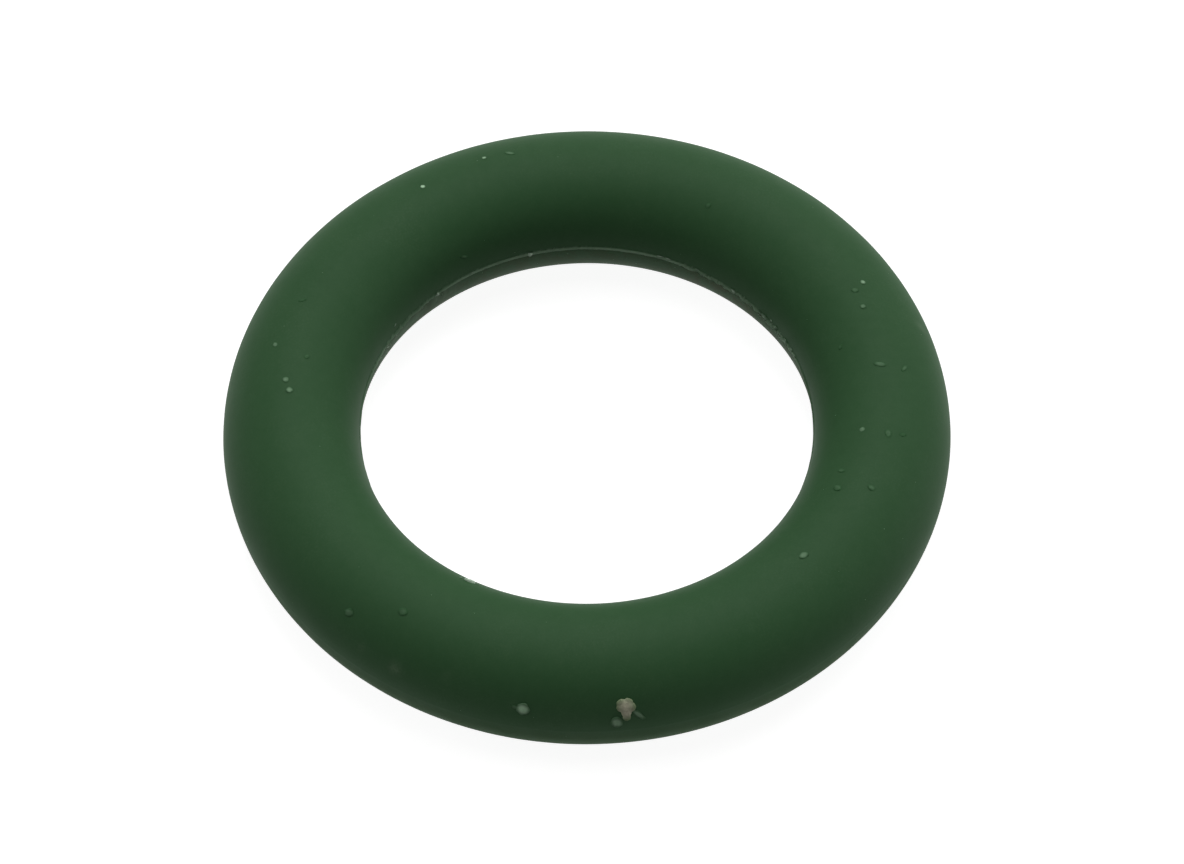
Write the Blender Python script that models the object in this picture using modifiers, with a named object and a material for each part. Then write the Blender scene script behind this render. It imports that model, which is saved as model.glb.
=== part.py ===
"""Rubber O-ring with a 10 mm bore and a 3 mm round section, moulded in one piece.

The mould closes on the ring's middle plane, so the flash of its parting line stands
out of the section as a low ridge, once round the inside and once round the outside,
where it is trimmed closer. The origin is the middle of the ring, and +Z is its axis.
"""

import math

import bmesh
import bpy

# Driving dimensions, in metres
BORE_DIAMETER = 0.0100
SECTION_DIAMETER = 0.0030
INNER_FLASH_HEIGHT = 0.00003
OUTER_FLASH_HEIGHT = 0.000015
FLASH_ROOT_THICKNESS = 0.00009
FLASH_TIP_THICKNESS = 0.00003

# Facets round the ring, and over each half of the section. The second is odd, so that
# one facet lies level at the top and one at the bottom.
RING_FACETS = 96
HALF_SECTION_FACETS = 19

RUBBER_GREEN = (0.031, 0.083, 0.036, 1.0)
RUBBER_ROUGHNESS = 0.6


def clear_scene():
    """Removes whatever the scene holds."""
    for obj in list(bpy.data.objects):
        bpy.data.objects.remove(obj)


def rubber_material():
    """Matt dark green rubber."""
    material = bpy.data.materials.new("green_rubber")
    material.use_nodes = True
    surface = material.node_tree.nodes["Principled BSDF"]
    surface.inputs["Base Color"].default_value = RUBBER_GREEN
    surface.inputs["Roughness"].default_value = RUBBER_ROUGHNESS
    surface.inputs["Metallic"].default_value = 0.0
    return material


def moulded_half(start_angle):
    """(x, z) points of the half section that one mould half forms, anticlockwise from start_angle.

    The facets touch the true circle at their middles, so the level ones lie at its full
    height. The arc stops short of the parting plane at both ends, where the flash begins.
    """
    section_radius = SECTION_DIAMETER / 2
    middle_radius = BORE_DIAMETER / 2 + section_radius
    flash_angle = math.asin(FLASH_ROOT_THICKNESS / 2 / section_radius)
    facet_angle = (math.pi - 2 * flash_angle) / HALF_SECTION_FACETS
    corner_radius = section_radius / math.cos(facet_angle / 2)
    angles = [start_angle + flash_angle + facet_angle * i for i in range(HALF_SECTION_FACETS + 1)]
    return [(middle_radius + corner_radius * math.cos(a), corner_radius * math.sin(a)) for a in angles]


def flash_tip(radius):
    """(x, z) points of the trimmed edge of the flash, lower one first."""
    half_tip = FLASH_TIP_THICKNESS / 2
    return [(radius, -half_tip), (radius, half_tip)]


def section_outline():
    """(x, z) points of the whole section at +X, clockwise, so that its outer side runs downwards."""
    inner_tip_radius = BORE_DIAMETER / 2 - INNER_FLASH_HEIGHT
    outer_tip_radius = BORE_DIAMETER / 2 + SECTION_DIAMETER + OUTER_FLASH_HEIGHT
    anticlockwise = (
        moulded_half(0)
        + flash_tip(inner_tip_radius)[::-1]
        + moulded_half(math.pi)
        + flash_tip(outer_tip_radius)
    )
    return anticlockwise[::-1]


def section_mesh(name):
    """The section's outline as a closed loop of edges in the XZ plane."""
    mesh = bpy.data.meshes.new(name)
    bm = bmesh.new()
    corners = [bm.verts.new((x, 0, z)) for x, z in section_outline()]
    for corner, following in zip(corners, corners[1:] + corners[:1]):
        bm.edges.new((corner, following))
    bm.to_mesh(mesh)
    bm.free()
    return mesh


def turned_ring(name):
    """The section turned once round the ring's axis."""
    ring = bpy.data.objects.new(name, section_mesh(name))
    turning = ring.modifiers.new("turning", "SCREW")
    turning.axis = "Z"
    turning.angle = 2 * math.pi
    turning.steps = RING_FACETS
    turning.render_steps = RING_FACETS
    turning.use_smooth_shade = True
    return ring


def build():
    """The finished ring, in a collection of its own."""
    clear_scene()
    collection = bpy.data.collections.new("rubber_o_ring")
    bpy.context.scene.collection.children.link(collection)
    ring = turned_ring("o_ring")
    ring.data.materials.append(rubber_material())
    collection.objects.link(ring)


build()
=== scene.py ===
"""Looks of a small dark green rubber O-ring that lies on a plain white ground.

The moulded ring is swept from a circle and its section, with the ragged flash that the
parting line of its mould left round the inside and the outside. Specks of dust, torn bits
of flash and one tan crumb cling to it, as on a ring that has been handled.
"""

import math
from types import SimpleNamespace

import bmesh
import bpy
from mathutils import Matrix, Vector, noise
from mathutils.bvhtree import BVHTree

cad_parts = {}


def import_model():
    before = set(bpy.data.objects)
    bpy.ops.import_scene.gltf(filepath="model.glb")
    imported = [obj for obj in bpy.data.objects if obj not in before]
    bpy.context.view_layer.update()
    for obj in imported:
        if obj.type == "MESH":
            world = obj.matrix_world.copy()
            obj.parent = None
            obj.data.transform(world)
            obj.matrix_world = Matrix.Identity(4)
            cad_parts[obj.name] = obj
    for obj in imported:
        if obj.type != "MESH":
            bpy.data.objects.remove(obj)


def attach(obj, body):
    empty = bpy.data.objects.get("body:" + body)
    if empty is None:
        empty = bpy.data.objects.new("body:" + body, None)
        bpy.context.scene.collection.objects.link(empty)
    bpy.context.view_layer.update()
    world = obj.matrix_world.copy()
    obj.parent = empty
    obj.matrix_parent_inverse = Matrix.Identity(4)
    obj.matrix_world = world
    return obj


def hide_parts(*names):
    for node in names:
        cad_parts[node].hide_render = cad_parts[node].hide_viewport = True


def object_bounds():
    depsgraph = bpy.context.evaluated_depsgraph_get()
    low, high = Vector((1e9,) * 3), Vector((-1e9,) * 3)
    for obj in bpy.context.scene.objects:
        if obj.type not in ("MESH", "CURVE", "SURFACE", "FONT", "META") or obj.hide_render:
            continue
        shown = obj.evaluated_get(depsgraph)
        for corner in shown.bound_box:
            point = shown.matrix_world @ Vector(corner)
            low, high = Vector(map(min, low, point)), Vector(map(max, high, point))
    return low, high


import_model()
CAD_LOW, CAD_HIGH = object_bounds()

MM = 0.001
MICRON = 0.000001

# The ring. The moulded box of the frame gives its section and, less the flash, its size.
SECTION_RADIUS = CAD_HIGH.z
OUTER_FLASH_IN_FRAME = 0.015 * MM
MIDDLE_RADIUS = CAD_HIGH.x - OUTER_FLASH_IN_FRAME - SECTION_RADIUS
GROUND_LEVEL = CAD_LOW.z
STEPS_ROUND = 1000
SECTION_POINTS = 96
CROWDING_AT_FLASH = 0.93

# The flash. It is a thin fin round the inside, a little above the middle, and trimmed almost
# flush outside. Its line wanders, and its edge is ragged.
INNER_FIN_HEIGHT = 0.024 * MM
OUTER_FIN_HEIGHT = 0.002 * MM
FIN_THICKNESS = 0.070 * MM
FIN_RISE = 0.045 * MM
FIN_RAGGED_LENGTH = 0.35 * MM
FIN_WANDER = 0.008 * MM
FIN_WANDER_LENGTH = 1.2 * MM
FIN_HEIGHT_SHARES = (0.85, 1.1)
FIN_THICKNESS_SHARES = (0.92, 1.08)

# The torn stretches of the inner flash, as azimuth and half width in degrees and as a share.
# The fin's height and thickness change there by shares between two limits, it hangs down by up
# to its droop, and it loses some of its paleness.
TORN_STRETCHES = ((45, 21, 1.0), (147, 17, 0.7), (247, 11, 0.5))
TORN_HEIGHT_CHANGE = (-0.4, 0.8)
TORN_THICKNESS_CHANGE = (-0.45, 0.15)
TORN_PALENESS_LOSS = 0.35
FIN_DROOP = 0.060 * MM

# The flash is less pale at the ring's right and left: the cosines of the azimuths between
# which the paleness changes there, and how much of it goes
CLEAN_FROM = 0.914
CLEAN_TO = 0.970
CLEAN_AT_RIGHT = 0.88
CLEAN_AT_LEFT = 0.616

# A paler scuffed patch below the flash, in the flash's pale colour, which is partly painted
# light: its azimuth and half width in degrees, its height and its strength
SCUFF_AZIMUTH = 141
SCUFF_HALF_WIDTH = 20
SCUFF_HEIGHT = 0.45 * MM
SCUFF_STRENGTH = 0.34

# The dusty bore below the inner flash: the levels over the flash's line between which the dust
# fades out downwards, and its strength where the flash is whole. At the line, dust and scuffs
# end within the edge's fade.
BORE_DUST_END = -1.1 * MM
BORE_DUST_FADE = -0.7 * MM
BORE_DUST_STRENGTH = 0.55
EDGE_FADE = 0.02 * MM

# The dull film low on the outer side: the level over the flash's line of its upper edge, half
# the height of that edge's fade, its strength, how much of its colour shows, and how much
# rougher it makes the rubber
LOW_FILM_LEVEL = -0.14 * MM
LOW_FILM_FADE = 0.20 * MM
LOW_FILM_STRENGTH = 0.7
LOW_FILM_TINT = 0.45
LOW_FILM_DULLNESS = 0.14

# Frayed flakes along the torn stretches: the sites that may hold one and the share that does
# where the flash is fully torn, how far they lie off the flash, and their length. Tilts are in
# radians, and sizes are shares of the length.
FLAKE_SITES = 900
FLAKE_SHARE = 0.45
FLAKE_SCATTER = 0.03 * MM
FLAKE_LENGTH = 0.060 * MM
FLAKE_TILTS = ((-0.9, 0.9), (-0.5, 0.5), (-0.5, 0.5))
FLAKE_SIZES = ((0.5, 1.3), (0.2, 0.55), (0.12, 0.25))
FLAKE_PALENESS = (0.05, 0.55)

# Unevenness of the moulded surface
SWELL_HEIGHT = 4 * MICRON
SWELL_LENGTH = 1.4 * MM
GRAIN_LENGTH = 0.035 * MM
GRAIN_DEPTH = 0.7 * MICRON

# Fine dust over the underside, in grains per square metre, and the share of it on the upper
# side. Sizes are shares of the diameter.
DUST_DENSITY = 2.2e6
DUST_ON_TOP = 0.12
DUST_DIAMETER = 0.012 * MM
DUST_SIZES = ((0.6, 2.2), (0.5, 1.3), (0.4, 0.9))
DUST_PALENESS = (0.08, 0.5)

# The photograph's frame in pixels, and the camera that was fitted to the ring in it
PHOTO_WIDTH = 1184
PHOTO_HEIGHT = 864
SENSOR_WIDTH = 36.0
LENS = 167.1
CAMERA_DEPTH = 121.0 * MM
CAMERA_ELEVATION = 53.8
CAMERA_ROLL = -0.36
RING_CENTRE_PIXEL = (586.9, 428.0)
PIXEL_SIZE = CAMERA_DEPTH / (LENS / SENSOR_WIDTH * PHOTO_WIDTH)

# Specks of dust that cling to the ring: pixel, length and width in microns, turn in the picture
# in degrees, and how pale each is from 0, like the rubber, to 1
SPECKS = (
    ((422.8, 186.7), 120, 109, 0, 1.00),
    ((484.2, 157.9), 109, 96, 20, 0.65),
    ((509.7, 153.2), 248, 109, -23, 0.17),
    ((464.0, 256.7), 188, 84, -9, 0.10),
    ((275.2, 344.7), 141, 117, -54, 0.25),
    ((285.7, 379.7), 157, 140, -37, 0.27),
    ((289.4, 390.0), 174, 151, -67, 0.28),
    ((306.7, 356.7), 138, 110, 43, 0.07),
    ((302.2, 300.2), 189, 84, 10, 0.05),
    ((708.2, 205.7), 158, 107, 42, 0.06),
    ((862.9, 282.2), 135, 124, -57, 0.42),
    ((863.0, 306.4), 142, 126, -8, 0.20),
    ((855.0, 290.1), 176, 133, -5, 0.10),
    ((880.0, 364.2), 289, 130, -16, 0.14),
    ((904.4, 368.3), 230, 100, 54, 0.10),
    ((840.3, 347.1), 143, 91, -90, 0.05),
    ((862.2, 429.5), 150, 135, 47, 0.26),
    ((888.2, 433.3), 220, 150, -82, 0.10),
    ((902.8, 434.7), 170, 106, 10, 0.04),
    ((841.4, 470.7), 186, 105, -30, 0.07),
    ((837.8, 488.0), 193, 166, -22, 0.08),
    ((871.4, 487.7), 190, 140, -45, 0.10),
    ((803.5, 555.5), 221, 169, 38, 0.26),
    ((349.1, 612.4), 246, 176, -7, 0.13),
    ((403.0, 611.9), 220, 170, -5, 0.08),
    ((522.8, 708.9), 300, 290, -12, 0.80),
    ((515.0, 706.9), 170, 110, -10, 0.14),
    ((616.8, 722.2), 320, 250, -69, 0.62),
    ((638.4, 714.2), 400, 125, -46, 0.38),
)

# Torn bits that stand on the flash, given in the same way. Their pale colour is partly painted
# light, for the ring's shade that most of them lie in.
NIBS = (
    ((530.1, 254.2), 106, 92, 0, 1.00),
    ((472.7, 273.0), 50, 34, 20, 0.44),
    ((471.5, 273.4), 120, 26, 28, 0.36),
    ((485.0, 268.8), 80, 26, 20, 0.28),
    ((437.4, 294.6), 100, 60, 40, 0.62),
    ((435.0, 296.5), 70, 36, 40, 0.32),
    ((660.5, 256.6), 180, 40, -10, 0.44),
    ((668.0, 258.9), 130, 44, -16, 0.48),
    ((697.0, 269.5), 90, 34, -25, 0.36),
    ((733.6, 291.4), 130, 60, -40, 0.50),
    ((759.5, 312.6), 120, 44, -42, 0.20),
    ((764.8, 318.0), 200, 90, -42, 0.28),
    ((771.5, 320.8), 60, 40, -45, 0.40),
    ((776.0, 328.0), 120, 80, -55, 0.22),
    ((785.6, 342.0), 190, 90, -57, 0.28),
    ((791.5, 350.2), 100, 60, -60, 0.32),
    ((795.0, 356.5), 80, 50, -62, 0.20),
    ((395.0, 325.0), 90, 30, 48, 0.36),
    ((469.6, 581.6), 280, 110, -27, 0.80),
    ((461.0, 578.0), 100, 40, -28, 0.28),
    ((477.0, 584.2), 90, 40, -24, 0.28),
)

# How thick, how uneven and how far off the rubber specks and torn bits are, as shares of their
# width, and how much of their paleness is left at their rim
SPECK_FLATNESS = 0.16
SPECK_UNEVENNESS = 0.16
SPECK_LIFT = 0.03
SPECK_RIM = 0.15
NIB_FLATNESS = 0.85
NIB_UNEVENNESS = 0.45
NIB_LIFT = 0.05
NIB_RIM = 0.6

# The lobes of the tan crumb: pixel and radius in pixels
CRUMB_LOBES = (
    ((621.6, 703.4), 5.0),
    ((628.0, 702.8), 5.2),
    ((625.8, 706.4), 7.4),
    ((630.8, 706.8), 5.2),
    ((621.4, 707.2), 5.0),
    ((626.4, 712.4), 5.0),
    ((626.8, 716.6), 4.0),
)

# The lobe that the crumb is flattened about, the share of its thickness that is left, and how
# far the lobes stand out of the rubber, as a share of their radius
CRUMB_MAIN_LOBE = 2
CRUMB_FLATNESS = 0.40
CRUMB_LIFT = 0.10

# The crumb's skin: the voxel of the mesh that joins the lobes, in millimetres, how often and
# how much it is smoothed, and the height in millimetres of its coarse and of its fine
# unevenness, each with its bumps in a millimetre
CRUMB_VOXEL = 0.006
CRUMB_SMOOTHINGS = 45
CRUMB_SMOOTHING = 0.6
CRUMB_COARSE = (0.008, 12)
CRUMB_FINE = (0.003, 60)

# The ends of the crumb's pale core, and how far from it, in pixels, the colour starts and ends
# its fade
CRUMB_CORE = ((625.4, 705.5), (626.2, 711.0))
CRUMB_CORE_REACH = 1.0
CRUMB_EDGE_REACH = 9.0

# Faint smudges on the rubber: pixel, radius in pixels, and strength
SMUDGES = (
    ((395.0, 668.5), 8.0, 0.60),
    ((361.5, 647.5), 4.5, 0.22),
    ((446.2, 677.0), 6.0, 0.16),
    ((920.5, 326.5), 6.5, 0.45),
    ((513.0, 706.0), 4.5, 0.25),
)

# How steeply a smudge fades from its middle
SMUDGE_FALL = 1.4

# The parts of its range that soft noise mostly keeps to: all of it, and its middle
NOISE_RANGE = (0.3, 0.7)
NOISE_MIDDLE = (0.35, 0.65)

# Linear colours. The crumb's are paler than a real crumb's, because it lies in a dim place.
RUBBER_DEEP = (0.0223, 0.0750, 0.0249)
RUBBER_PALE = (0.0309, 0.0893, 0.0336)
# The flash's colour is pale rubber in part and painted light in part. It is written much paler than wear
# makes rubber, for the light that the fin would catch where it lies in the ring's shade.
WORN_AND_LIT_FLASH = (0.340, 0.500, 0.340)
FLASH_DUST = (0.026, 0.052, 0.014)
SMUDGE_GREY = (0.150, 0.240, 0.140)
DUST_DARK = (0.026, 0.090, 0.030)
DUST_PALE = (0.62, 0.92, 0.62)
# Painted light in part: torn bits on the flash are written paler than they are, as most of them lie in the
# ring's shade
FLECK_PALE_AND_LIT = (0.78, 0.95, 0.78)
CRUMB_EDGE = (0.22, 0.30, 0.16)
CRUMB_TAN = (0.78, 0.73, 0.56)
CRUMB_PALE = (0.92, 0.86, 0.67)
GROUND_GREY = (0.45, 0.45, 0.45)

RUBBER_ROUGHNESS = 0.62
RUBBER_SPECULAR = 0.142
DULL_ROUGHNESS = 0.9
DULL_SPECULAR = 0.1

# Lengths of the finer patterns in the materials, and the depth of the bumps on specks and crumb
CLOUD_LENGTH = 0.45 * MM
FRAY_LENGTH = 0.05 * MM
DUST_PATCH_LENGTH = 1.3 * MM
DUST_GRAIN_LENGTH = 0.05 * MM
DUST_FILM_AMOUNT = 0.05
CRUST_LENGTH = 0.045 * MM
LUMP_LENGTH = 0.012 * MM
SPECK_BUMP_DEPTH = 1.5 * MICRON
CRUMB_BUMP_DEPTH = 1.2 * MICRON

# The ground, in metres, and how much it glows to the camera on top of the light that it gets
GROUND_HALF_WIDTH = 0.6
GROUND_GLOW = 0.93

# The lamps: azimuth and elevation in degrees, and how bright each makes a white face that is
# turned to it, where 1 is white. Azimuth 0 is the camera's side, and 90 is the right.
LAMPS = (
    ("high_back_light", 180, 64, 0.34),
    ("back_right_light", 135, 38, 0.18),
    ("back_light", 180, 38, 0.08),
    ("left_light", 270, 38, 0.10),
    ("low_right_light", 95, 12, 0.15),
    ("top_light", 0, 90, 0.15),
)
LAMP_SIZE = 0.25
LAMP_DISTANCE = 0.5

SEED = 7


class Graph:
    """A node tree written as calls: each adds one node and gives one of its outputs."""

    def __init__(self, tree):
        self.tree = tree

    def add(self, kind, inputs=None, output=0, **settings):
        """Adds a node with its settings, and fills its inputs with values or with other outputs."""
        node = self.tree.nodes.new(kind)
        for name, value in settings.items():
            setattr(node, name, value)
        for key, value in (inputs or {}).items():
            if isinstance(value, bpy.types.NodeSocket):
                self.tree.links.new(value, node.inputs[key])
            else:
                node.inputs[key].default_value = value
        return node.outputs[output]

    def math(self, operation, first, second=0.0):
        """One step of arithmetic on numbers."""
        return self.add("ShaderNodeMath", {0: first, 1: second}, operation=operation)

    def plus(self, first, second):
        """The sum of two numbers."""
        return self.math("ADD", first, second)

    def minus(self, first, second):
        """A number less another."""
        return self.math("SUBTRACT", first, second)

    def times(self, first, *others):
        """The product of some numbers."""
        for other in others:
            first = self.math("MULTIPLY", first, other)
        return first

    def without(self, value, share):
        """What is left of a value when a share of it, from 0 to 1, is taken away."""
        return self.times(value, self.minus(1.0, share))

    def vector(self, operation, first, second):
        """One step of arithmetic on vectors."""
        return self.add("ShaderNodeVectorMath", {0: first, 1: second}, operation=operation)

    def scaled(self, vector, factor):
        """A vector times a number."""
        return self.add("ShaderNodeVectorMath", {0: vector, "Scale": factor}, operation="SCALE")

    def upright(self, height):
        """A vector along Z."""
        return self.add("ShaderNodeCombineXYZ", {"Z": height})

    def ramp(self, value, low, high, to_low=0.0, to_high=1.0):
        """Carries a value smoothly from one range to another and holds it at the ends."""
        inputs = {"Value": value, "From Min": low, "From Max": high, "To Min": to_low, "To Max": to_high}
        return self.add("ShaderNodeMapRange", inputs, interpolation_type="SMOOTHSTEP")

    def fade(self, value, low, high, strength=1.0):
        """The strength up to the low end of a range, and smoothly nothing at its high end."""
        return self.ramp(value, low, high, strength, 0.0)


def new_tree(name, kind, inputs, outputs):
    """A node group with named sockets, and the two nodes that stand for them inside it."""
    tree = bpy.data.node_groups.new(name, kind)
    for label, (socket_kind, value) in inputs.items():
        socket = tree.interface.new_socket(label, in_out="INPUT", socket_type=socket_kind)
        if value is not None:
            socket.default_value = value
    for label, socket_kind in outputs.items():
        tree.interface.new_socket(label, in_out="OUTPUT", socket_type=socket_kind)
    return tree, tree.nodes.new("NodeGroupInput").outputs, tree.nodes.new("NodeGroupOutput").inputs


def noise_field(graph, where, length, detail=2.0, seed=0.0):
    """Soft noise from 0 to 1 whose bumps are about as long as the given length."""
    scale = graph.math("DIVIDE", 1.0, length)
    inputs = {"Vector": where, "W": seed, "Scale": scale, "Detail": detail}
    return graph.add("ShaderNodeTexNoise", inputs, noise_dimensions="4D")


def ring_tree():
    """Sweeps the section round the ring, with its flash and the slight swells of the surface."""
    numbers = {
        "Middle Radius": MIDDLE_RADIUS,
        "Section Radius": SECTION_RADIUS,
        "Inner Fin Height": INNER_FIN_HEIGHT,
        "Outer Fin Height": OUTER_FIN_HEIGHT,
        "Fin Thickness": FIN_THICKNESS,
        "Ragged Length": FIN_RAGGED_LENGTH,
        "Fin Wander": FIN_WANDER,
        "Fin Rise": FIN_RISE,
        "Fin Droop": FIN_DROOP,
        "Swell Height": SWELL_HEIGHT,
        "Swell Length": SWELL_LENGTH,
        "Seed": SEED,
    }
    inputs = {label: ("NodeSocketFloat", value) for label, value in numbers.items()}
    inputs["Steps Round"] = ("NodeSocketInt", STEPS_ROUND)
    inputs["Section Points"] = ("NodeSocketInt", SECTION_POINTS)
    inputs["Rubber"] = ("NodeSocketMaterial", None)
    outputs = {"Ring": "NodeSocketGeometry"}
    tree, given, result = new_tree("moulded_ring", "GeometryNodeTree", inputs, outputs)
    graph = Graph(tree)
    swept, azimuth, angle = swept_section(graph, given)
    spot = spot_on_section(graph, given, azimuth, angle)
    flash = flash_fields(graph, given, spot)
    place = moulded_place(graph, given, spot, flash)
    ring = graph.add("GeometryNodeSetPosition", {"Geometry": swept, "Position": place})
    # How pale the flash is, for a colour that is partly wear and partly painted light
    ring = stored(graph, ring, "flash", pale_field(graph, spot, flash))
    ring = stored(graph, ring, "under", bore_dust_field(graph, spot, flash))
    ring = stored(graph, ring, "low", low_film_field(graph, spot, flash))
    tree.links.new(finished(graph, ring, given["Rubber"]), result["Ring"])
    return tree


def swept_section(graph, given):
    """The section swept round the ring, and the azimuth and the angle in the section of its points.

    The section's points crowd towards the flash, at its innermost and its outermost point.
    """
    index = graph.add("GeometryNodeInputIndex")
    azimuth = graph.times(graph.math("DIVIDE", index, given["Steps Round"]), math.tau)
    path = graph.tree.nodes.new("GeometryNodeCurvePrimitiveCircle")
    graph.tree.links.new(given["Steps Round"], path.inputs["Resolution"])
    on_path, azimuth = captured(graph, path.outputs["Curve"], azimuth)

    even = graph.times(graph.math("DIVIDE", index, given["Section Points"]), math.tau)
    twice = graph.math("SINE", graph.times(even, 2.0))
    crowded = graph.minus(even, graph.times(twice, CROWDING_AT_FLASH / 2))
    section = graph.tree.nodes.new("GeometryNodeCurvePrimitiveCircle")
    graph.tree.links.new(given["Section Points"], section.inputs["Resolution"])
    on_section, angle = captured(graph, section.outputs["Curve"], crowded)

    curves = {"Curve": on_path, "Profile Curve": on_section}
    swept = graph.add("GeometryNodeCurveToMesh", curves)
    return graph.add("GeometryNodeFlipFaces", {"Mesh": swept}), azimuth, angle


def spot_on_section(graph, given, azimuth, angle):
    """Where a point lies on the true round section, before the flash and the swells.

    Its outer field is 1 on the outer side of the section and 0 on the inner.
    """
    cosine, sine = graph.math("COSINE", azimuth), graph.math("SINE", azimuth)
    spot = SimpleNamespace(azimuth=azimuth, cosine=cosine)
    spot.outward = graph.add("ShaderNodeCombineXYZ", {"X": cosine, "Y": sine})
    spot.across, spot.up = graph.math("COSINE", angle), graph.math("SINE", angle)
    spot.radius = graph.plus(given["Middle Radius"], graph.times(spot.across, given["Section Radius"]))
    spot.level = graph.times(spot.up, given["Section Radius"])
    spot.side = graph.math("SIGN", spot.across)
    spot.outer = graph.ramp(spot.across, -0.1, 0.1)
    return spot


def flash_fields(graph, given, spot):
    """The flash at a point: where its line runs, how torn and loose it is, and how far it stands out.

    The inside and the outside read the noise at places apart, so that their edges differ. Noise
    stays within about a quarter of its middle, and four times that is the full wander.
    """
    apart = graph.upright(graph.times(spot.side, 2 * MM))
    along = graph.vector("ADD", graph.scaled(spot.outward, given["Middle Radius"]), apart)
    ragged_length = given["Ragged Length"]
    wander = noise_field(graph, along, FIN_WANDER_LENGTH, 1.0, given["Seed"])
    wander = graph.times(graph.minus(wander, 0.5), graph.times(given["Fin Wander"], 4.0))
    ragged = noise_field(graph, along, ragged_length, 4.0, graph.plus(given["Seed"], 3.1))
    tattered = noise_field(graph, along, graph.times(ragged_length, 0.25), 3.0, given["Seed"])
    loose = noise_field(graph, along, graph.times(ragged_length, 0.7), 5.0, graph.plus(given["Seed"], 8.3))

    flash = SimpleNamespace(loose=loose)
    flash.torn = graph.without(torn_share(graph, spot.azimuth), spot.outer)
    flash.above_line = graph.minus(graph.minus(spot.level, given["Fin Rise"]), wander)
    flash.off_line = graph.math("ABSOLUTE", flash.above_line)
    thickness = graph.ramp(tattered, *NOISE_RANGE, *FIN_THICKNESS_SHARES)
    thickness = graph.times(given["Fin Thickness"], thickness)
    thinned = graph.times(flash.torn, graph.ramp(tattered, *NOISE_RANGE, *TORN_THICKNESS_CHANGE))
    thickness = graph.times(thickness, graph.plus(1.0, thinned))
    flash.in_fin = graph.fade(flash.off_line, graph.times(thickness, 0.30), graph.times(thickness, 0.55))
    flash.pale = graph.fade(flash.off_line, graph.times(thickness, 0.45), graph.times(thickness, 0.80))

    heights = {"Factor": spot.outer, "A": given["Inner Fin Height"], "B": given["Outer Fin Height"]}
    height = graph.add("ShaderNodeMix", heights)
    frayed = graph.times(flash.torn, graph.ramp(loose, *NOISE_MIDDLE, *TORN_HEIGHT_CHANGE))
    standing = graph.plus(graph.ramp(ragged, 0.32, 0.66, *FIN_HEIGHT_SHARES), frayed)
    standing = graph.math("MAXIMUM", standing, 0.05)
    flash.fin = graph.times(height, standing, flash.in_fin, spot.side)
    flash.droop = graph.times(flash.torn, flash.in_fin, given["Fin Droop"])
    flash.droop = graph.times(flash.droop, graph.ramp(loose, *NOISE_MIDDLE, 0.1, 1.0))
    return flash


def moulded_place(graph, given, spot, flash):
    """Where a point of the ring lies, with the flash and the swells, and never below the ground."""
    smooth_place = graph.vector("ADD", graph.scaled(spot.outward, spot.radius), graph.upright(spot.level))
    swell = noise_field(graph, smooth_place, given["Swell Length"], 2.0, given["Seed"])
    swell = graph.times(graph.minus(swell, 0.5), graph.times(given["Swell Height"], 2.0))
    radius = graph.plus(graph.plus(spot.radius, graph.times(swell, spot.across)), flash.fin)
    level = graph.minus(graph.plus(spot.level, graph.times(swell, spot.up)), flash.droop)
    level = graph.math("MAXIMUM", level, graph.times(given["Section Radius"], -1.0))
    return graph.vector("ADD", graph.scaled(spot.outward, radius), graph.upright(level))


def pale_field(graph, spot, flash):
    """How pale the flash is, and the scuffed patch below it. The paleness is partly wear and partly
    painted light, for the fin that lies in the ring's shade.
    """
    clean = graph.ramp(spot.cosine, CLEAN_FROM, CLEAN_TO, 0.0, CLEAN_AT_RIGHT)
    clean = graph.math("MAXIMUM", clean, graph.fade(spot.cosine, -CLEAN_TO, -CLEAN_FROM, CLEAN_AT_LEFT))
    worn_and_lit = graph.without(flash.pale, graph.math("MAXIMUM", spot.outer, clean))
    worn_and_lit = graph.without(worn_and_lit, graph.times(flash.torn, TORN_PALENESS_LOSS))
    away = graph.math("ABSOLUTE", graph.minus(spot.azimuth, math.radians(SCUFF_AZIMUTH)))
    half_width = math.radians(SCUFF_HALF_WIDTH)
    scuffed = graph.fade(away, 0.5 * half_width, half_width, SCUFF_STRENGTH)
    worn_and_lit = graph.without(worn_and_lit, scuffed)
    near_line = graph.fade(flash.off_line, 0.6 * SCUFF_HEIGHT, SCUFF_HEIGHT)
    below_line = graph.fade(flash.above_line, -EDGE_FADE, 2 * EDGE_FADE)
    scuffed = graph.without(graph.times(scuffed, near_line, below_line), spot.outer)
    scuffed = graph.times(scuffed, graph.ramp(flash.loose, *NOISE_RANGE, 0.3, 1.0))
    return graph.math("MAXIMUM", worn_and_lit, scuffed)


def bore_dust_field(graph, spot, flash):
    """How dusty the bore is below the inner flash, most under its torn stretches."""
    dusty = graph.fade(flash.above_line, -EDGE_FADE, EDGE_FADE)
    dusty = graph.times(dusty, graph.ramp(flash.above_line, BORE_DUST_END, BORE_DUST_FADE))
    more_where_torn = graph.plus(BORE_DUST_STRENGTH, graph.times(flash.torn, 1 - BORE_DUST_STRENGTH))
    return graph.times(graph.without(dusty, spot.outer), more_where_torn)


def low_film_field(graph, spot, flash):
    """How dull the film of dust is low on the outer side."""
    lower, upper = LOW_FILM_LEVEL - LOW_FILM_FADE, LOW_FILM_LEVEL + LOW_FILM_FADE
    return graph.times(graph.fade(flash.above_line, lower, upper, LOW_FILM_STRENGTH), spot.outer)


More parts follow.
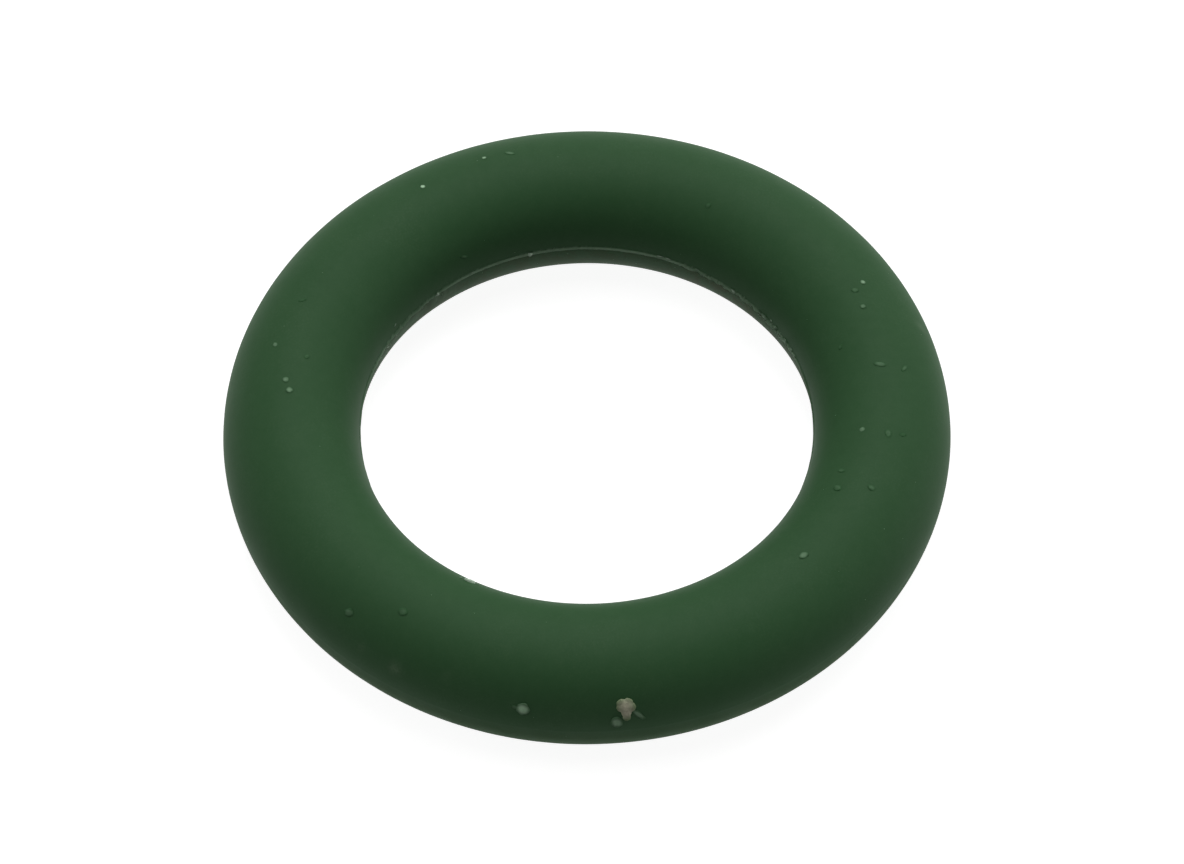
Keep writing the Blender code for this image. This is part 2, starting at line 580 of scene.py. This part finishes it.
def torn_share(graph, azimuth):
    """How torn the flash is at an azimuth in radians, from 0 where it is whole."""
    share = 0.0
    for centre, half_width, strength in TORN_STRETCHES:
        away = graph.math("ABSOLUTE", graph.minus(azimuth, math.radians(centre)))
        half_width = math.radians(half_width)
        share = graph.plus(share, graph.fade(away, 0.6 * half_width, 1.15 * half_width, strength))
    return share


def stored(graph, geometry, name, value, domain="POINT"):
    """Stores a named number on a geometry, where materials and later nodes read it."""
    inputs = {"Geometry": geometry, "Name": name, "Value": value}
    return graph.add("GeometryNodeStoreNamedAttribute", inputs, data_type="FLOAT", domain=domain)


def read_vector(graph, name):
    """A vector that was stored by name."""
    return graph.add("GeometryNodeInputNamedAttribute", {"Name": name}, data_type="FLOAT_VECTOR")


def finished(graph, geometry, stuff):
    """A geometry as one plain smooth mesh with its material."""
    geometry = graph.add("GeometryNodeRealizeInstances", {"Geometry": geometry})
    geometry = graph.add("GeometryNodeSetShadeSmooth", {"Geometry": geometry})
    return graph.add("GeometryNodeSetMaterial", {"Geometry": geometry, "Material": stuff})


def captured(graph, geometry, value):
    """Stores a number on each point of a curve, so that it can be read once the curve is swept."""
    node = graph.tree.nodes.new("GeometryNodeCaptureAttribute")
    node.capture_items.new("FLOAT", "Value")
    graph.tree.links.new(geometry, node.inputs["Geometry"])
    graph.tree.links.new(value, node.inputs["Value"])
    return node.outputs["Geometry"], node.outputs["Value"]


def made_by(tree, name, values, start=None):
    """The plain mesh object that a Geometry Nodes tree makes, from a start mesh where it needs one."""
    maker = bpy.data.objects.new(name, start or bpy.data.meshes.new(name))
    bpy.context.scene.collection.objects.link(maker)
    making = maker.modifiers.new("making", "NODES")
    making.node_group = tree
    for item in tree.interface.items_tree:
        if item.in_out == "INPUT" and item.name in values:
            making[item.identifier] = values[item.name]
    state = bpy.context.evaluated_depsgraph_get()
    made = maker.evaluated_get(state)
    mesh = bpy.data.meshes.new_from_object(made, preserve_all_data_layers=True, depsgraph=state)
    bpy.data.objects.remove(maker)
    piece = bpy.data.objects.new(name, mesh)
    bpy.context.scene.collection.objects.link(piece)
    return piece


def grain_group():
    """Fine grain of a moulded or broken surface: its height for a Bump node, and a tone from 0 to 1."""
    inputs = {"Grain Length": ("NodeSocketFloat", GRAIN_LENGTH), "Seed": ("NodeSocketFloat", SEED)}
    outputs = {"Height": "NodeSocketFloat", "Tone": "NodeSocketFloat"}
    tree, given, result = new_tree("surface_grain", "ShaderNodeTree", inputs, outputs)
    graph = Graph(tree)
    place = graph.add("ShaderNodeTexCoord", output="Object")
    fine = noise_field(graph, place, given["Grain Length"], 3.0, given["Seed"])
    broad = noise_field(graph, place, graph.times(given["Grain Length"], 6.0), 2.0, given["Seed"])
    tree.links.new(graph.plus(fine, graph.times(broad, 1.6)), result["Height"])
    tone = graph.plus(graph.times(fine, 0.45), graph.times(broad, 0.55))
    tree.links.new(graph.ramp(tone, *NOISE_RANGE), result["Tone"])
    return tree


def film_group():
    """A thin uneven film of fine dust: its mask, strongest in soft patches and broken up by grains."""
    inputs = {
        "Patch Length": ("NodeSocketFloat", DUST_PATCH_LENGTH),
        "Grain Length": ("NodeSocketFloat", DUST_GRAIN_LENGTH),
        "Amount": ("NodeSocketFloat", DUST_FILM_AMOUNT),
        "Seed": ("NodeSocketFloat", SEED),
    }
    tree, given, result = new_tree("dust_film", "ShaderNodeTree", inputs, {"Mask": "NodeSocketFloat"})
    graph = Graph(tree)
    place = graph.add("ShaderNodeTexCoord", output="Object")
    patches = noise_field(graph, place, given["Patch Length"], 3.0, given["Seed"])
    patches = graph.plus(0.35, graph.ramp(patches, 0.42, 0.75))
    grains = noise_field(graph, place, given["Grain Length"], 4.0, given["Seed"])
    grains = graph.plus(0.3, graph.ramp(grains, 0.45, 0.72))
    tree.links.new(graph.times(patches, grains, given["Amount"]), result["Mask"])
    return tree


def placed_group(graph, tree, **values):
    """A node that stands for a shader group, with its own values, as its outputs by name."""
    node = graph.tree.nodes.new("ShaderNodeGroup")
    node.node_tree = tree
    for label, value in values.items():
        node.inputs[label.replace("_", " ").title()].default_value = value
    return node.outputs


def tinted(graph, share, first, second):
    """A colour between two others."""
    node = graph.tree.nodes.new("ShaderNodeMix")
    node.data_type = "RGBA"
    graph.tree.links.new(share, node.inputs["Factor"])
    for key, colour in ((6, first), (7, second)):
        if isinstance(colour, bpy.types.NodeSocket):
            graph.tree.links.new(colour, node.inputs[key])
        else:
            node.inputs[key].default_value = (*colour, 1.0)
    return node.outputs[2]


def attribute(graph, name):
    """A number that a piece's mesh carries under a name."""
    return graph.add("ShaderNodeAttribute", output="Fac", attribute_name=name)


def new_material(name, roughness, specular):
    """A material with its graph and its Principled shader."""
    material = bpy.data.materials.new(name)
    material.use_nodes = True
    surface = material.node_tree.nodes["Principled BSDF"]
    surface.inputs["Roughness"].default_value = roughness
    surface.inputs["Specular IOR Level"].default_value = specular
    return material, Graph(material.node_tree), surface


def bumped(graph, surface, height, depth):
    """Feeds a height into the shader's normal."""
    normal = graph.add("ShaderNodeBump", {"Height": height, "Distance": depth, "Strength": 1.0})
    graph.tree.links.new(normal, surface.inputs["Normal"])


def rubber_material(grain, film):
    """Dark green rubber with a fine moulded grain, faint dust and smudges, and a pale flash whose
    colour is partly wear and partly painted light, for the fin that lies in the ring's shade.

    The film low on the outer side is more matt than clean rubber.
    """
    material, graph, surface = new_material("green_rubber", RUBBER_ROUGHNESS, RUBBER_SPECULAR)
    skin = placed_group(graph, grain, grain_length=GRAIN_LENGTH)
    cloudy = placed_group(graph, grain, grain_length=CLOUD_LENGTH, seed=3.0)
    frayed = placed_group(graph, grain, grain_length=FRAY_LENGTH, seed=11.0)
    dusty = placed_group(graph, film, amount=DUST_FILM_AMOUNT)
    tone = graph.plus(graph.times(skin["Tone"], 0.5), graph.times(cloudy["Tone"], 0.5))
    smudged = graph.times(attribute(graph, "smudge"), graph.ramp(frayed["Tone"], 0.0, 1.0, 0.35, 0.9))
    under = graph.times(attribute(graph, "under"), graph.ramp(frayed["Tone"], *NOISE_RANGE, 0.1, 1.0))
    low = graph.times(attribute(graph, "low"), graph.ramp(cloudy["Tone"], 0.0, 1.0, 0.8, 1.0))
    worn_and_lit = graph.times(attribute(graph, "flash"), graph.ramp(frayed["Tone"], 0.0, 1.0, 0.85, 1.0))
    colour = tinted(graph, tone, RUBBER_DEEP, RUBBER_PALE)
    colour = tinted(graph, dusty["Mask"], colour, SMUDGE_GREY)
    colour = tinted(graph, smudged, colour, SMUDGE_GREY)
    colour = tinted(graph, under, colour, FLASH_DUST)
    colour = tinted(graph, graph.times(low, LOW_FILM_TINT), colour, FLASH_DUST)
    # Partly painted light: the flash's pale colour stands in for light on the fin in the ring's shade, as
    # well as for wear
    colour = tinted(graph, worn_and_lit, colour, WORN_AND_LIT_FLASH)
    graph.tree.links.new(colour, surface.inputs["Base Color"])
    rough = graph.plus(RUBBER_ROUGHNESS - 0.03, graph.times(cloudy["Tone"], 0.06))
    rough = graph.plus(rough, graph.times(worn_and_lit, 0.15))
    rough = graph.plus(rough, graph.times(low, LOW_FILM_DULLNESS))
    graph.tree.links.new(rough, surface.inputs["Roughness"])
    bumped(graph, surface, skin["Height"], GRAIN_DEPTH)
    return material


def speck_material(grain, name, dark, pale):
    """Dull dust, as pale as each speck's own paleness says."""
    material, graph, surface = new_material(name, DULL_ROUGHNESS, DULL_SPECULAR)
    lumpy = placed_group(graph, grain, grain_length=LUMP_LENGTH, seed=5.0)
    share = graph.times(attribute(graph, "paleness"), attribute(graph, "core"))
    share = graph.times(share, graph.ramp(lumpy["Tone"], 0.0, 1.0, 0.85, 1.1))
    graph.tree.links.new(tinted(graph, share, dark, pale), surface.inputs["Base Color"])
    graph.tree.links.new(graph.ramp(lumpy["Tone"], 0.0, 1.0, 0.8, 0.95), surface.inputs["Roughness"])
    bumped(graph, surface, lumpy["Height"], SPECK_BUMP_DEPTH)
    return material


def crumb_material(grain):
    """A tan crumb, pale and mottled at its core and greenish at its thin rim."""
    material, graph, surface = new_material("tan_crumb", DULL_ROUGHNESS, DULL_SPECULAR)
    coarse = placed_group(graph, grain, grain_length=CRUST_LENGTH, seed=2.0)
    fine = placed_group(graph, grain, grain_length=LUMP_LENGTH, seed=9.0)
    tone = graph.plus(graph.times(coarse["Tone"], 0.7), graph.times(fine["Tone"], 0.3))
    colour = tinted(graph, tone, CRUMB_TAN, CRUMB_PALE)
    colour = tinted(graph, attribute(graph, "core"), CRUMB_EDGE, colour)
    graph.tree.links.new(colour, surface.inputs["Base Color"])
    graph.tree.links.new(graph.ramp(fine["Tone"], 0.0, 1.0, 0.82, 0.96), surface.inputs["Roughness"])
    bumped(graph, surface, fine["Height"], CRUMB_BUMP_DEPTH)
    return material


def ground():
    """A wide white ground that the ring lies on. Seen from below it is clear."""
    half = GROUND_HALF_WIDTH
    mesh = bpy.data.meshes.new("ground")
    corners = [(-half, -half, 0), (half, -half, 0), (half, half, 0), (-half, half, 0)]
    mesh.from_pydata(corners, [], [(0, 1, 2, 3)])
    mesh.transform(Matrix.Translation((0, 0, GROUND_LEVEL)))
    floor = bpy.data.objects.new("ground", mesh)
    bpy.context.scene.collection.objects.link(floor)
    material = bpy.data.materials.new("white_ground")
    material.use_nodes = True
    tree = material.node_tree
    tree.nodes.clear()
    graph = Graph(tree)
    glowing = graph.times(seen_directly(graph), GROUND_GLOW)
    paper = graph.add("ShaderNodeBsdfDiffuse", {"Color": (*GROUND_GREY, 1.0)})
    glow = graph.add("ShaderNodeEmission", {"Color": (1, 1, 1, 1), "Strength": glowing})
    both = graph.add("ShaderNodeAddShader", {0: paper, 1: glow})
    clear = graph.add("ShaderNodeBsdfTransparent")
    backface = graph.add("ShaderNodeNewGeometry", output="Backfacing")
    shown = graph.add("ShaderNodeMixShader", {0: backface, 1: both, 2: clear})
    end = tree.nodes.new("ShaderNodeOutputMaterial")
    tree.links.new(shown, end.inputs["Surface"])
    mesh.materials.append(material)


def seen_directly(graph):
    """1 for rays from the camera and for those that a glossy or clear surface sends on."""
    path = graph.tree.nodes.new("ShaderNodeLightPath").outputs
    mirrored = graph.math("MAXIMUM", path["Is Glossy Ray"], path["Is Transmission Ray"])
    return graph.math("MAXIMUM", path["Is Camera Ray"], mirrored)


def world():
    """White to the camera and in reflections. The lamps give all the other light."""
    studio = bpy.data.worlds.new("studio")
    studio.use_nodes = True
    bpy.context.scene.world = studio
    background = studio.node_tree.nodes["Background"]
    background.inputs["Color"].default_value = (1, 1, 1, 1)
    seen = seen_directly(Graph(studio.node_tree))
    studio.node_tree.links.new(seen, background.inputs["Strength"])


def soft_lamp(name, azimuth, elevation, level):
    """A square lamp that faces the ring, with the power that gives its level at the ring."""
    a, e = math.radians(azimuth), math.radians(elevation)
    direction = Vector((math.sin(a) * math.cos(e), -math.cos(a) * math.cos(e), math.sin(e)))
    data = bpy.data.lights.new(name, "AREA")
    data.shape = "SQUARE"
    data.size = LAMP_SIZE
    data.energy = level * math.pi**2 * LAMP_DISTANCE**2
    lamp = bpy.data.objects.new(name, data)
    lamp.location = direction * LAMP_DISTANCE
    lamp.rotation_mode = "QUATERNION"
    lamp.rotation_quaternion = direction.to_track_quat("Z", "Y")
    bpy.context.scene.collection.objects.link(lamp)


def camera_turn():
    """The camera's rotation as a matrix. It looks along +Y and down at the ring."""
    pitch = Matrix.Rotation(math.radians(90 - CAMERA_ELEVATION), 4, "X")
    return pitch @ Matrix.Rotation(math.radians(CAMERA_ROLL), 4, "Z")


def pixel_ray(pixel):
    """The way from the camera through a pixel of the photograph, 1 long along the view's middle."""
    focal = LENS / SENSOR_WIDTH * PHOTO_WIDTH
    right = (pixel[0] - PHOTO_WIDTH / 2) / focal
    down = (pixel[1] - PHOTO_HEIGHT / 2) / focal
    return camera_turn() @ Vector((right, -down, -1))


def camera_place():
    """Where the camera stands, so that the ring's middle falls on its pixel."""
    return -pixel_ray(RING_CENTRE_PIXEL) * CAMERA_DEPTH


def camera():
    """The camera at the photograph's place."""
    data = bpy.data.cameras.new("camera")
    data.lens = LENS
    data.sensor_width = SENSOR_WIDTH
    data.clip_start = 0.005
    data.clip_end = 10.0
    holder = bpy.data.objects.new("camera", data)
    holder.matrix_world = Matrix.Translation(camera_place()) @ camera_turn()
    bpy.context.scene.collection.objects.link(holder)
    bpy.context.scene.camera = holder


def ring(rubber):
    """The moulded ring, which stands for the frame's plain one."""
    piece = made_by(ring_tree(), "moulded_ring", {"Rubber": rubber})
    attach(piece, "root")
    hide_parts("o_ring")
    return piece


def landing(surface, pixel):
    """Where the line of sight through a pixel meets a surface, and the way the surface faces there."""
    return surface.ray_cast(camera_place(), pixel_ray(pixel))[:2]


def tree_of(piece):
    """The faces of a piece, for casting rays at them."""
    mesh = piece.data
    points = [vertex.co for vertex in mesh.vertices]
    faces = [tuple(polygon.vertices) for polygon in mesh.polygons]
    return BVHTree.FromPolygons(points, faces)


def smudge(piece, surface):
    """Marks the smudges on the ring's points, strongest at their middles."""
    marks = []
    for pixel, radius, strength in SMUDGES:
        place, facing = landing(surface, pixel)
        marks.append((place, radius * PIXEL_SIZE, strength))
    values = []
    for vertex in piece.data.vertices:
        value = 0.0
        for place, radius, strength in marks:
            value += strength * math.exp(-((vertex.co - place).length / radius) ** 2 * SMUDGE_FALL)
        values.append(min(1.0, value))
    layer = piece.data.attributes.new("smudge", "FLOAT", "POINT")
    layer.data.foreach_set("value", values)


def sites(name, surface, marks, flatness):
    """A point for each mark where it lands, with the way it faces, its run, its size and its paleness."""
    places, facings, runs, sizes, palenesses = [], [], [], [], []
    for pixel, length, width, turn, paleness in marks:
        place, facing = landing(surface, pixel)
        a = math.radians(turn)
        beside = (pixel[0] + math.cos(a), pixel[1] - math.sin(a))
        run = pixel_ray(beside) - pixel_ray(pixel)
        run -= facing * run.dot(facing)
        places.append(place)
        facings.append(facing)
        runs.append(run.normalized())
        sizes.append((length * MICRON, width * MICRON, flatness * width * MICRON))
        palenesses.append(paleness)
    mesh = bpy.data.meshes.new(name)
    mesh.from_pydata(places, [], [])
    for label, vectors in (("facing", facings), ("run", runs), ("extent", sizes)):
        layer = mesh.attributes.new(label, "FLOAT_VECTOR", "POINT")
        layer.data.foreach_set("vector", [part for vector in vectors for part in vector])
    mesh.attributes.new("paleness", "FLOAT", "POINT").data.foreach_set("value", palenesses)
    return mesh


def speck_tree():
    """Sets a small uneven lump on each point, as long, wide and turned as the point says."""
    inputs = {
        "Sites": ("NodeSocketGeometry", None),
        "Unevenness": ("NodeSocketFloat", SPECK_UNEVENNESS),
        "Rim": ("NodeSocketFloat", SPECK_RIM),
        "Lift": ("NodeSocketFloat", SPECK_LIFT),
        "Seed": ("NodeSocketFloat", SEED),
        "Stuff": ("NodeSocketMaterial", None),
    }
    outputs = {"Specks": "NodeSocketGeometry"}
    tree, given, result = new_tree("clinging_specks", "GeometryNodeTree", inputs, outputs)
    graph = Graph(tree)
    facing, extent = read_vector(graph, "facing"), read_vector(graph, "extent")
    points = graph.add("GeometryNodeMeshToPoints", {"Mesh": given["Sites"]})
    axes = {"Primary Axis": facing, "Secondary Axis": read_vector(graph, "run")}
    turn = graph.add("FunctionNodeAxesToRotation", axes, primary_axis="Z", secondary_axis="X")

    # A ball that is palest round its middle, seen from above, and fades to its rim
    lump = graph.add("GeometryNodeMeshIcoSphere", {"Radius": 0.5, "Subdivisions": 3})
    place = graph.add("GeometryNodeInputPosition")
    flat_place = graph.vector("MULTIPLY", place, (2.0, 2.0, 0.0))
    from_middle = graph.add("ShaderNodeVectorMath", {0: flat_place}, output="Value", operation="LENGTH")
    lump = stored(graph, lump, "core", graph.ramp(from_middle, 0.35, 1.0, 1.0, given["Rim"]))
    lumps = {"Points": points, "Instance": lump, "Rotation": turn, "Scale": extent}
    lumps = graph.add("GeometryNodeInstanceOnPoints", lumps)
    lumps = graph.add("GeometryNodeRealizeInstances", {"Geometry": lumps})

    wide = graph.add("ShaderNodeSeparateXYZ", {"Vector": extent}, output="Y")
    rough = noise_field(graph, place, graph.times(wide, 0.55), 2.0, given["Seed"])
    rough = graph.times(graph.minus(rough, 0.5), graph.times(wide, given["Unevenness"]))
    offset = graph.scaled(graph.add("GeometryNodeInputNormal"), graph.times(rough, 2.0))
    offset = graph.vector("ADD", offset, graph.scaled(facing, graph.times(wide, given["Lift"])))
    lumps = graph.add("GeometryNodeSetPosition", {"Geometry": lumps, "Offset": offset})
    tree.links.new(finished(graph, lumps, given["Stuff"]), result["Specks"])
    return tree


def crumb(surface, stuff):
    """The lobed crumb, grown together from balls, with an uneven crust."""
    mesh = joined_lobes("tan_crumb", surface)
    middle, facing = landing(surface, CRUMB_LOBES[CRUMB_MAIN_LOBE][0])
    outward = [vertex.normal.copy() for vertex in mesh.vertices]
    for vertex, normal in zip(mesh.vertices, outward):
        vertex.co -= facing * facing.dot(vertex.co - middle / MM) * (1 - CRUMB_FLATNESS)
        coarse = CRUMB_COARSE[0] * noise.noise(vertex.co * CRUMB_COARSE[1] + Vector((SEED, 0, 0)))
        fine = CRUMB_FINE[0] * noise.noise(vertex.co * CRUMB_FINE[1])
        vertex.co = (vertex.co + normal * (coarse + fine)) * MM
    cores = crumb_cores(mesh, surface)
    mesh.attributes.new("core", "FLOAT", "POINT").data.foreach_set("value", cores)
    mesh.materials.append(stuff)
    piece = bpy.data.objects.new("tan_crumb", mesh)
    bpy.context.scene.collection.objects.link(piece)
    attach(piece, "root")


def joined_lobes(name, surface):
    """The crumb's lobes as one smooth mesh, in millimetres."""
    bm = bmesh.new()
    for pixel, radius in CRUMB_LOBES:
        place, facing = landing(surface, pixel)
        reach = radius * PIXEL_SIZE
        centre = Matrix.Translation((place + facing * CRUMB_LIFT * reach) / MM)
        bmesh.ops.create_icosphere(bm, subdivisions=3, radius=reach / MM, matrix=centre)
    balls = bpy.data.meshes.new(name)
    bm.to_mesh(balls)
    bm.free()
    maker = bpy.data.objects.new(name, balls)
    bpy.context.scene.collection.objects.link(maker)
    joined = maker.modifiers.new("joined", "REMESH")
    joined.mode = "VOXEL"
    joined.voxel_size = CRUMB_VOXEL
    joined.use_smooth_shade = True
    softened = maker.modifiers.new("softened", "SMOOTH")
    softened.factor = CRUMB_SMOOTHING
    softened.iterations = CRUMB_SMOOTHINGS
    state = bpy.context.evaluated_depsgraph_get()
    mesh = bpy.data.meshes.new_from_object(maker.evaluated_get(state))
    bpy.data.objects.remove(maker)
    mesh.materials.clear()
    return mesh


def crumb_cores(mesh, surface):
    """For each point of the crumb, 1 in its pale core and 0 at its rim."""
    top, facing = landing(surface, CRUMB_CORE[0])
    end, facing = landing(surface, CRUMB_CORE[1])
    down = end - top
    fade = CRUMB_EDGE_REACH - CRUMB_CORE_REACH
    cores = []
    for vertex in mesh.vertices:
        share = min(1.0, max(0.0, (vertex.co - top).dot(down) / down.length_squared))
        away = (vertex.co - top - down * share).length / PIXEL_SIZE
        cores.append(min(1.0, max(0.0, (CRUMB_EDGE_REACH - away) / fade)))
    return cores


def flake_tree():
    """Frayed flakes along the torn stretches of the inner flash."""
    inputs = {
        "Inner Radius": ("NodeSocketFloat", MIDDLE_RADIUS - SECTION_RADIUS - 0.6 * INNER_FIN_HEIGHT),
        "Flake Length": ("NodeSocketFloat", FLAKE_LENGTH),
        "Sites": ("NodeSocketInt", FLAKE_SITES),
        "Seed": ("NodeSocketInt", SEED),
        "Stuff": ("NodeSocketMaterial", None),
    }
    outputs = {"Flakes": "NodeSocketGeometry"}
    tree, given, result = new_tree("frayed_flakes", "GeometryNodeTree", inputs, outputs)
    graph = Graph(tree)
    circle = {"Resolution": given["Sites"], "Radius": given["Inner Radius"]}
    path = graph.add("GeometryNodeCurvePrimitiveCircle", circle)
    points = {"Curve": path, "Count": given["Sites"]}
    points = graph.add("GeometryNodeCurveToPoints", points, mode="COUNT")
    parts = graph.tree.nodes.new("ShaderNodeSeparateXYZ")
    graph.tree.links.new(graph.add("GeometryNodeInputPosition"), parts.inputs["Vector"])
    azimuth = graph.math("ARCTAN2", parts.outputs["Y"], parts.outputs["X"])
    azimuth = graph.math("FLOORED_MODULO", azimuth, math.tau)
    share = graph.times(torn_share(graph, azimuth), FLAKE_SHARE)
    kept = graph.math("LESS_THAN", chance(graph, given["Seed"], 0, 0.0, 1.0), share)
    scatter = {"Min": (-FLAKE_SCATTER,) * 3, "Max": (FLAKE_SCATTER,) * 3, "Seed": given["Seed"]}
    scatter = graph.add("FunctionNodeRandomValue", scatter, data_type="FLOAT_VECTOR")
    points = graph.add("GeometryNodeSetPosition", {"Geometry": points, "Offset": scatter})
    flake = graph.add("GeometryNodeMeshUVSphere", {"Segments": 6, "Rings": 4, "Radius": 0.5})
    along = graph.upright(graph.plus(azimuth, math.pi / 2))
    tilt = graph.vector("ADD", along, chances(graph, given["Seed"], 1, FLAKE_TILTS))
    size = graph.scaled(chances(graph, given["Seed"], 4, FLAKE_SIZES), given["Flake Length"])
    flakes = {"Points": points, "Selection": kept, "Instance": flake, "Rotation": tilt, "Scale": size}
    flakes = graph.add("GeometryNodeInstanceOnPoints", flakes)
    paleness = chance(graph, given["Seed"], 7, *FLAKE_PALENESS)
    flakes = stored(graph, flakes, "paleness", paleness, "INSTANCE")
    flakes = stored(graph, flakes, "core", 1.0, "INSTANCE")
    tree.links.new(finished(graph, flakes, given["Stuff"]), result["Flakes"])
    return tree


def chance(graph, seed, number, low, high):
    """A random number between two others, its own for each draw number and each point."""
    own_seed = graph.plus(seed, float(number))
    inputs = {2: low, 3: high, "Seed": own_seed}
    return graph.add("FunctionNodeRandomValue", inputs, output=1, data_type="FLOAT")


def chances(graph, seed, first_number, ranges):
    """A random vector, each part between two numbers, drawn with draw numbers from the first on."""
    parts = {}
    for step, (low, high) in enumerate(ranges):
        parts["XYZ"[step]] = chance(graph, seed, first_number + step, low, high)
    return graph.add("ShaderNodeCombineXYZ", parts)


def dust_tree():
    """Fine dust grains scattered over a surface, mostly on its underside."""
    inputs = {
        "Surface": ("NodeSocketGeometry", None),
        "Density": ("NodeSocketFloat", DUST_DENSITY),
        "Diameter": ("NodeSocketFloat", DUST_DIAMETER),
        "Seed": ("NodeSocketInt", SEED),
        "Stuff": ("NodeSocketMaterial", None),
    }
    outputs = {"Dust": "NodeSocketGeometry"}
    tree, given, result = new_tree("fine_dust", "GeometryNodeTree", inputs, outputs)
    graph = Graph(tree)
    facing = graph.add("GeometryNodeInputNormal")
    up = graph.add("ShaderNodeSeparateXYZ", {"Vector": facing}, output="Z")
    density = graph.times(given["Density"], graph.ramp(up, -0.15, 0.25, 1.0, DUST_ON_TOP))
    scattered = graph.tree.nodes.new("GeometryNodeDistributePointsOnFaces")
    graph.tree.links.new(given["Surface"], scattered.inputs["Mesh"])
    graph.tree.links.new(density, scattered.inputs["Density"])
    graph.tree.links.new(given["Seed"], scattered.inputs["Seed"])
    points, turn = scattered.outputs["Points"], scattered.outputs["Rotation"]
    grain = graph.add("GeometryNodeMeshUVSphere", {"Segments": 6, "Rings": 4, "Radius": 0.5})
    size = graph.scaled(chances(graph, given["Seed"], 1, DUST_SIZES), given["Diameter"])
    grains = {"Points": points, "Instance": grain, "Rotation": turn, "Scale": size}
    grains = graph.add("GeometryNodeInstanceOnPoints", grains)
    paleness = chance(graph, given["Seed"], 4, *DUST_PALENESS)
    grains = stored(graph, grains, "paleness", paleness, "INSTANCE")
    grains = stored(graph, grains, "core", 1.0, "INSTANCE")
    tree.links.new(finished(graph, grains, given["Stuff"]), result["Dust"])
    return tree


bpy.context.scene.view_settings.view_transform = "Standard"
camera()
grain = grain_group()
film = film_group()
rubber = rubber_material(grain, film)
speck_stuff = speck_material(grain, "clinging_dust", DUST_DARK, DUST_PALE)
# The torn bits' pale colour is partly painted light, for the ring's shade on the flash
flash_stuff = speck_material(grain, "torn_flash", DUST_DARK, FLECK_PALE_AND_LIT)

the_ring = ring(rubber)
surface = tree_of(the_ring)
smudge(the_ring, surface)
lump_maker = speck_tree()
speck_sites = sites("clinging_specks", surface, SPECKS, SPECK_FLATNESS)
specks = made_by(lump_maker, "clinging_specks", {"Stuff": speck_stuff}, speck_sites)
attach(specks, "root")
nib_sites = sites("flash_nibs", surface, NIBS, NIB_FLATNESS)
nib_values = {"Stuff": flash_stuff, "Unevenness": NIB_UNEVENNESS, "Lift": NIB_LIFT, "Rim": NIB_RIM}
nibs = made_by(lump_maker, "flash_nibs", nib_values, nib_sites)
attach(nibs, "root")
flakes = made_by(flake_tree(), "frayed_flakes", {"Stuff": flash_stuff})
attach(flakes, "root")
dust = made_by(dust_tree(), "fine_dust", {"Stuff": speck_stuff}, the_ring.data.copy())
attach(dust, "root")
crumb(surface, crumb_material(grain))

ground()
world()
for lamp in LAMPS:
    soft_lamp(*lamp)
